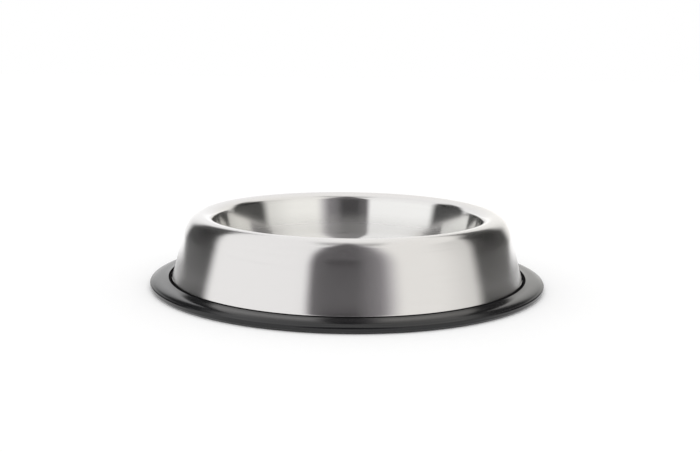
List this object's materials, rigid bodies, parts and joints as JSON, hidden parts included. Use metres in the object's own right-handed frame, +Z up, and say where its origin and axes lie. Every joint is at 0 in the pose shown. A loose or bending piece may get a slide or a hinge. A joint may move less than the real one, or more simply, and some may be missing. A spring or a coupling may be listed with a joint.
{
  "type": "non-tip pet bowl",
  "caption": "Low round steel pet bowl with a deep well, a broad rounded lip, a leaning skirt and a wide rubber ring gripping its foot.",
  "frame": {"origin": "on the surface that the bowl stands on, under the middle of the bowl", "axes": "+Z up along the bowl's axis of revolution, +X to the right and +Y away from the viewer"},
  "size_m": [0.2353, 0.2354, 0.0422],
  "materials": {
    "steel": "satin brushed round the axis outside, bright inside the well",
    "rubber": "moulded, half matt"
  },
  "bodies": {
    "root": {"bowl_shell": "steel", "rubber_ring": "rubber"}
  },
  "joints": []
}
